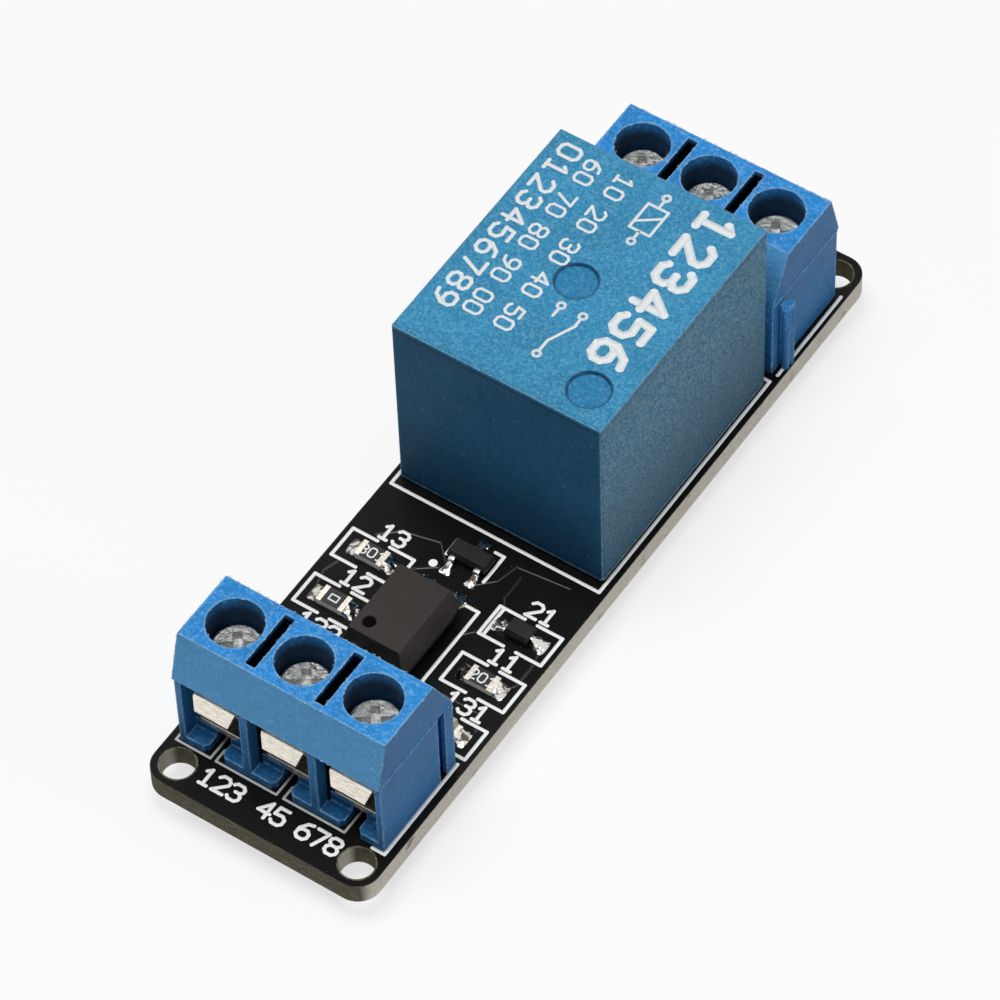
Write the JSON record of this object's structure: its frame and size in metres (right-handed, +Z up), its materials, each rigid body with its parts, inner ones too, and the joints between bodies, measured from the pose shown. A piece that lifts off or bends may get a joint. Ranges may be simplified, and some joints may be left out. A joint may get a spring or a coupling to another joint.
{
  "type": "relay module board",
  "caption": "Opto-isolated relay module: a narrow board with a sealed relay, a small driver circuit and a screw terminal block at each end.",
  "frame": {"origin": "centre of the module, on the plane of the clipped pin tips that it stands on", "axes": "+Y along the board from the input terminal block to the output terminal block, +Z up, +X across the board"},
  "size_m": [0.0168, 0.0582, 0.019],
  "materials": {
    "board": "black solder mask over a pale glass-fibre board",
    "solder": "bright reflowed solder",
    "terminal_plastic": "semi-gloss moulded plastic",
    "contact_metal": "tinned strip",
    "guard_metal": "tinned spring strip",
    "screw_metal": "zinc plated",
    "relay_plastic": "fine-grained moulded plastic",
    "relay_base_plastic": "moulded plastic",
    "bobbin_plastic": "moulded plastic",
    "winding": "enamelled copper wire",
    "magnet_steel": "plated soft iron",
    "spring_metal": "copper alloy strip",
    "contact_silver": "silver alloy",
    "pin_metal": "tinned",
    "package_plastic": "moulded epoxy",
    "leg_metal": "tinned",
    "chip_ceramic": "alumina",
    "led_plastic": "clear epoxy"
  },
  "bodies": {
    "root": {"board": "board", "pin_solder": "solder", "pad_solder": "solder", "input_housing": "terminal_plastic", "output_housing": "terminal_plastic", "input_contact_1": "contact_metal", "input_contact_2": "contact_metal", "input_contact_3": "contact_metal", "output_contact_1": "contact_metal", "output_contact_2": "contact_metal", "output_contact_3": "contact_metal", "relay_case": "relay_plastic", "relay_base": "relay_base_plastic", "relay_bobbin": "bobbin_plastic", "relay_coil": "winding", "relay_core": "magnet_steel", "relay_yoke": "magnet_steel", "relay_open_terminal": "spring_metal", "relay_closed_terminal": "spring_metal", "relay_common_pin": "pin_metal", "relay_coil_pin_1": "pin_metal", "relay_coil_pin_2": "pin_metal", "optocoupler": "package_plastic", "transistor": "package_plastic", "diode": "package_plastic", "optocoupler_legs": "leg_metal", "transistor_legs": "leg_metal", "diode_legs": "leg_metal", "resistor_ends": "leg_metal", "led_ends": "leg_metal", "resistor_1": "chip_ceramic", "resistor_2": "chip_ceramic", "resistor_3": "chip_ceramic", "led_1": "chip_ceramic", "led_2": "chip_ceramic", "led_lens_1": "led_plastic", "led_lens_2": "led_plastic"},
    "input_guard_1": {"input_guard_1": "guard_metal"},
    "input_screw_1": {"input_screw_1": "screw_metal"},
    "input_guard_2": {"input_guard_2": "guard_metal"},
    "input_screw_2": {"input_screw_2": "screw_metal"},
    "input_guard_3": {"input_guard_3": "guard_metal"},
    "input_screw_3": {"input_screw_3": "screw_metal"},
    "output_guard_1": {"output_guard_1": "guard_metal"},
    "output_screw_1": {"output_screw_1": "screw_metal"},
    "output_guard_2": {"output_guard_2": "guard_metal"},
    "output_screw_2": {"output_screw_2": "screw_metal"},
    "output_guard_3": {"output_guard_3": "guard_metal"},
    "output_screw_3": {"output_screw_3": "screw_metal"},
    "armature": {"relay_armature": "magnet_steel", "relay_blade": "spring_metal", "relay_moving_contact": "contact_silver"}
  },
  "joints": [
    {"name": "input_clamp_1", "type": "slide", "parent": "root", "child": "input_guard_1", "axis": [0, 0, -1], "range_m": [-0.0005, 0.0014]},
    {"name": "input_screw_turn_1", "type": "hinge", "parent": "input_guard_1", "child": "input_screw_1", "pos_m": [-0.00508, -0.02247, 0.0114], "axis": [0, 0, -1], "range_deg": [-360, 1008]},
    {"name": "input_clamp_2", "type": "slide", "parent": "root", "child": "input_guard_2", "axis": [0, 0, -1], "range_m": [-0.0005, 0.0014]},
    {"name": "input_screw_turn_2", "type": "hinge", "parent": "input_guard_2", "child": "input_screw_2", "pos_m": [0, -0.02247, 0.0114], "axis": [0, 0, -1], "range_deg": [-360, 1008]},
    {"name": "input_clamp_3", "type": "slide", "parent": "root", "child": "input_guard_3", "axis": [0, 0, -1], "range_m": [-0.0005, 0.0014]},
    {"name": "input_screw_turn_3", "type": "hinge", "parent": "input_guard_3", "child": "input_screw_3", "pos_m": [0.00508, -0.02247, 0.0114], "axis": [0, 0, -1], "range_deg": [-360, 1008]},
    {"name": "output_clamp_1", "type": "slide", "parent": "root", "child": "output_guard_1", "axis": [0, 0, -1], "range_m": [-0.0005, 0.0014]},
    {"name": "output_screw_turn_1", "type": "hinge", "parent": "output_guard_1", "child": "output_screw_1", "pos_m": [0.00508, 0.02247, 0.0114], "axis": [0, 0, -1], "range_deg": [-360, 1008]},
    {"name": "output_clamp_2", "type": "slide", "parent": "root", "child": "output_guard_2", "axis": [0, 0, -1], "range_m": [-0.0005, 0.0014]},
    {"name": "output_screw_turn_2", "type": "hinge", "parent": "output_guard_2", "child": "output_screw_2", "pos_m": [0, 0.02247, 0.0114], "axis": [0, 0, -1], "range_deg": [-360, 1008]},
    {"name": "output_clamp_3", "type": "slide", "parent": "root", "child": "output_guard_3", "axis": [0, 0, -1], "range_m": [-0.0005, 0.0014]},
    {"name": "output_screw_turn_3", "type": "hinge", "parent": "output_guard_3", "child": "output_screw_3", "pos_m": [-0.00508, 0.02247, 0.0114], "axis": [0, 0, -1], "range_deg": [-360, 1008]},
    {"name": "armature_swing", "type": "hinge", "parent": "root", "child": "armature", "pos_m": [0, 0.00202, 0.01523], "axis": [-1, 0, 0], "range_deg": [0, 3], "stiffness_Nm_per_rad": 0.002, "springref_deg": -11.46}
  ],
  "couplings": [
    {"joint": "input_screw_turn_1", "follows": "input_clamp_1", "rad_per_m": 12566},
    {"joint": "input_screw_turn_2", "follows": "input_clamp_2", "rad_per_m": 12566},
    {"joint": "input_screw_turn_3", "follows": "input_clamp_3", "rad_per_m": 12566},
    {"joint": "output_screw_turn_1", "follows": "output_clamp_1", "rad_per_m": 12566},
    {"joint": "output_screw_turn_2", "follows": "output_clamp_2", "rad_per_m": 12566},
    {"joint": "output_screw_turn_3", "follows": "output_clamp_3", "rad_per_m": 12566}
  ]
}
